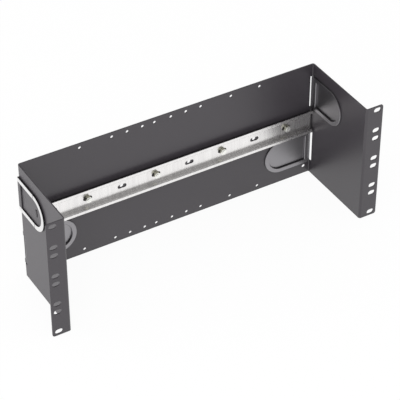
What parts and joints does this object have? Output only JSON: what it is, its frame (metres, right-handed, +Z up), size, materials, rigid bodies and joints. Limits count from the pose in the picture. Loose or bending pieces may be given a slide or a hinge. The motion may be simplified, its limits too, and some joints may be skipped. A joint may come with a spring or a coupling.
{
  "type": "rack-mount din rail panel",
  "caption": "Rack-mount panel with folded side wings, slotted flanges, a top-hat rail across its recessed back and D-shaped cable ports closed by pressed pans.",
  "frame": {"origin": "centre of the rack mounting plane, the rear faces of the flanges", "axes": "+X right along the panel, +Y into the rack, +Z up"},
  "size_m": [0.4826, 0.128, 0.177],
  "materials": {
    "sheet_paint": "semi-gloss dark grey powder coat",
    "rail_zinc": "bright zinc plate with fine marks across the strip",
    "fastener_zinc": "pale yellow zinc plate",
    "pan_steel": "dull grey steel",
    "trim_metal": "bright metal edge"
  },
  "bodies": {
    "root": {"chassis": "sheet_paint", "din_rail": "rail_zinc", "rail_bolt_1": "fastener_zinc", "rail_bolt_2": "fastener_zinc", "rail_bolt_3": "fastener_zinc", "rail_bolt_4": "fastener_zinc", "rail_nut_1": "fastener_zinc", "rail_nut_2": "fastener_zinc", "rail_nut_3": "fastener_zinc", "rail_nut_4": "fastener_zinc", "port_pan_upper_left": "pan_steel", "port_trim_upper_left": "trim_metal", "port_cover_upper_left": "sheet_paint", "port_pan_upper_right": "pan_steel", "port_trim_upper_right": "trim_metal", "port_cover_upper_right": "sheet_paint", "port_pan_lower_left": "pan_steel", "port_trim_lower_left": "trim_metal", "port_cover_lower_left": "sheet_paint", "port_pan_lower_right": "pan_steel", "port_trim_lower_right": "trim_metal", "port_cover_lower_right": "sheet_paint"}
  },
  "joints": []
}
